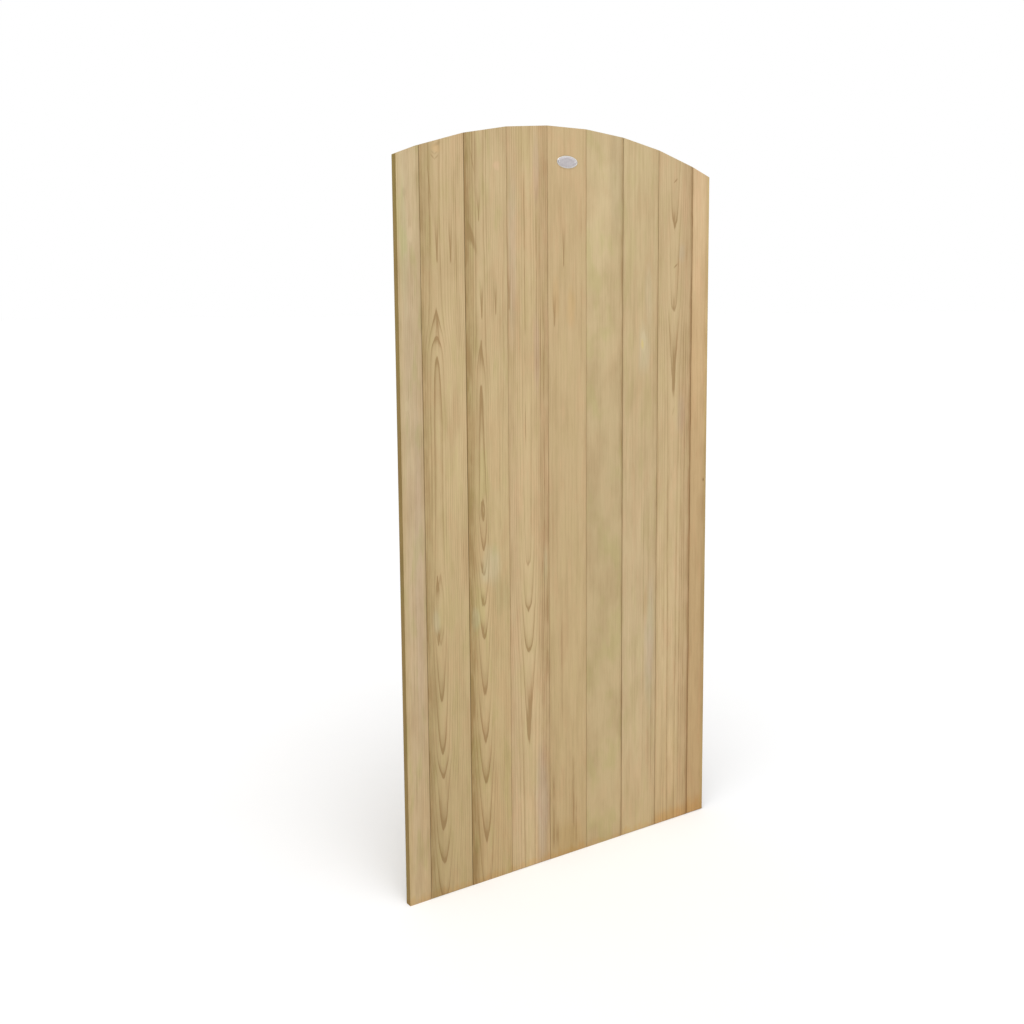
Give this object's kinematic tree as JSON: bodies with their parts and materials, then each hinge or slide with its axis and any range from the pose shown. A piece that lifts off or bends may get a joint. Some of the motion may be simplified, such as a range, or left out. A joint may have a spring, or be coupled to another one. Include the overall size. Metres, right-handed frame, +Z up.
{
  "type": "garden gate",
  "caption": "Tall garden gate leaf of tongue-and-groove boards with a domed top, screwed to level ledges and diagonal braces at the back, with a small blank oval badge.",
  "frame": {"origin": "middle of the leaf's width and depth, at the foot of its boards", "axes": "+Z up, +X to the right as seen from the boarded front, which faces -Y; the ledged back faces +Y; hinge side at -X"},
  "size_m": [0.92, 0.0484, 1.8],
  "materials": {
    "boards": "matte",
    "ledges_and_braces": "matte",
    "screws": "satin",
    "badge": "satin"
  },
  "bodies": {
    "root": {"board_1": "boards", "board_2": "boards", "board_3": "boards", "board_4": "boards", "board_5": "boards", "board_6": "boards", "board_7": "boards", "board_8": "boards", "board_9": "boards", "ledge_bottom": "ledges_and_braces", "ledge_middle": "ledges_and_braces", "ledge_top": "ledges_and_braces", "lower_brace": "ledges_and_braces", "upper_brace": "ledges_and_braces", "screw_bottom_ledge_1": "screws", "screw_bottom_ledge_2": "screws", "screw_bottom_ledge_3": "screws", "screw_bottom_ledge_4": "screws", "screw_bottom_ledge_5": "screws", "screw_bottom_ledge_6": "screws", "screw_bottom_ledge_7": "screws", "screw_bottom_ledge_8": "screws", "screw_bottom_ledge_9": "screws", "screw_middle_ledge_1": "screws", "screw_middle_ledge_2": "screws", "screw_middle_ledge_3": "screws", "screw_middle_ledge_4": "screws", "screw_middle_ledge_5": "screws", "screw_middle_ledge_6": "screws", "screw_middle_ledge_7": "screws", "screw_middle_ledge_8": "screws", "screw_middle_ledge_9": "screws", "screw_top_ledge_1": "screws", "screw_top_ledge_2": "screws", "screw_top_ledge_3": "screws", "screw_top_ledge_4": "screws", "screw_top_ledge_5": "screws", "screw_top_ledge_6": "screws", "screw_top_ledge_7": "screws", "screw_top_ledge_8": "screws", "screw_top_ledge_9": "screws", "screw_lower_brace_2": "screws", "screw_lower_brace_3": "screws", "screw_lower_brace_4": "screws", "screw_lower_brace_5": "screws", "screw_lower_brace_6": "screws", "screw_lower_brace_7": "screws", "screw_lower_brace_8": "screws", "screw_upper_brace_2": "screws", "screw_upper_brace_3": "screws", "screw_upper_brace_4": "screws", "screw_upper_brace_5": "screws", "screw_upper_brace_6": "screws", "screw_upper_brace_7": "screws", "screw_upper_brace_8": "screws", "badge": "badge", "badge_pin_left": "badge", "badge_pin_right": "badge"}
  },
  "joints": []
}
